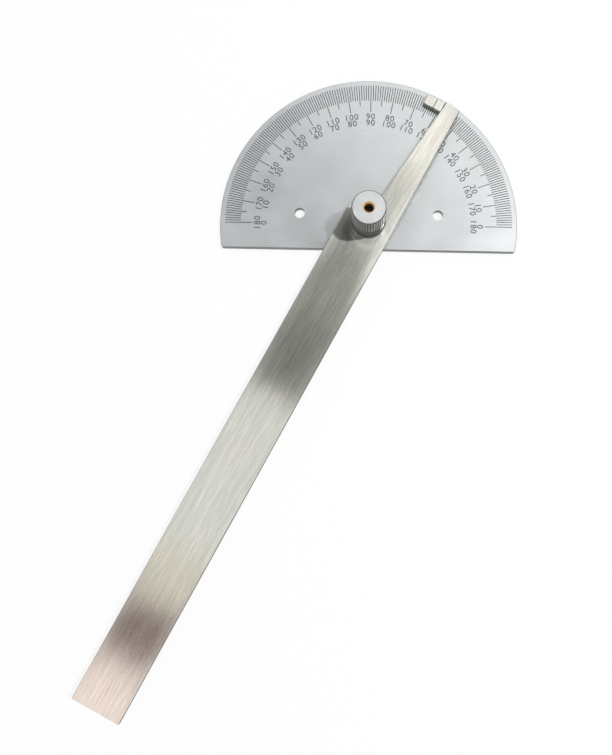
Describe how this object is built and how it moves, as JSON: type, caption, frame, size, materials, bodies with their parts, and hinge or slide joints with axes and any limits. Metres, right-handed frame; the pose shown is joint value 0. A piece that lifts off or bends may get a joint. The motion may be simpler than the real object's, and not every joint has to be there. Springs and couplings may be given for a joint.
{
  "type": "bevel protractor",
  "caption": "Half-round graduated sheet head with a swinging blade on a pivot stud, locked by a knurled nut.",
  "frame": {"origin": "on the pivot axis, in the plane of the flat back, where the stud's head ends flush", "axes": "+X from the pivot to the 0 degree mark, +Y to the 90 degree mark, +Z out of the graduated face"},
  "size_m": [0.1206, 0.1829, 0.011],
  "materials": {
    "head_steel": "satin, engraved marks filled dark",
    "blade_steel": "brushed along the blade",
    "stud_steel": "turned",
    "washer_steel": "dull, dark",
    "nut_plating": "satin nickel plating over brass"
  },
  "bodies": {
    "head": {"protractor_head": "head_steel", "pivot_stud": "stud_steel", "friction_washer": "washer_steel"},
    "blade": {"blade": "blade_steel"},
    "washer": {"nut_washer": "washer_steel"},
    "nut": {"lock_nut": "nut_plating"}
  },
  "joints": [
    {"name": "blade_swing", "type": "hinge", "parent": "head", "child": "blade", "pos_m": [0, 0, 0], "axis": [0, 0, 1], "range_deg": [-62.4, 117.6]},
    {"name": "nut_rise", "type": "slide", "parent": "head", "child": "washer", "axis": [0, 0, 1], "range_m": [0, 0.005]},
    {"name": "nut_turn", "type": "hinge", "parent": "washer", "child": "nut", "pos_m": [0, 0, 0], "axis": [0, 0, 1], "range_deg": [0, 3600]}
  ],
  "couplings": [
    {"joint": "nut_turn", "follows": "nut_rise", "rad_per_m": 12566}
  ]
}
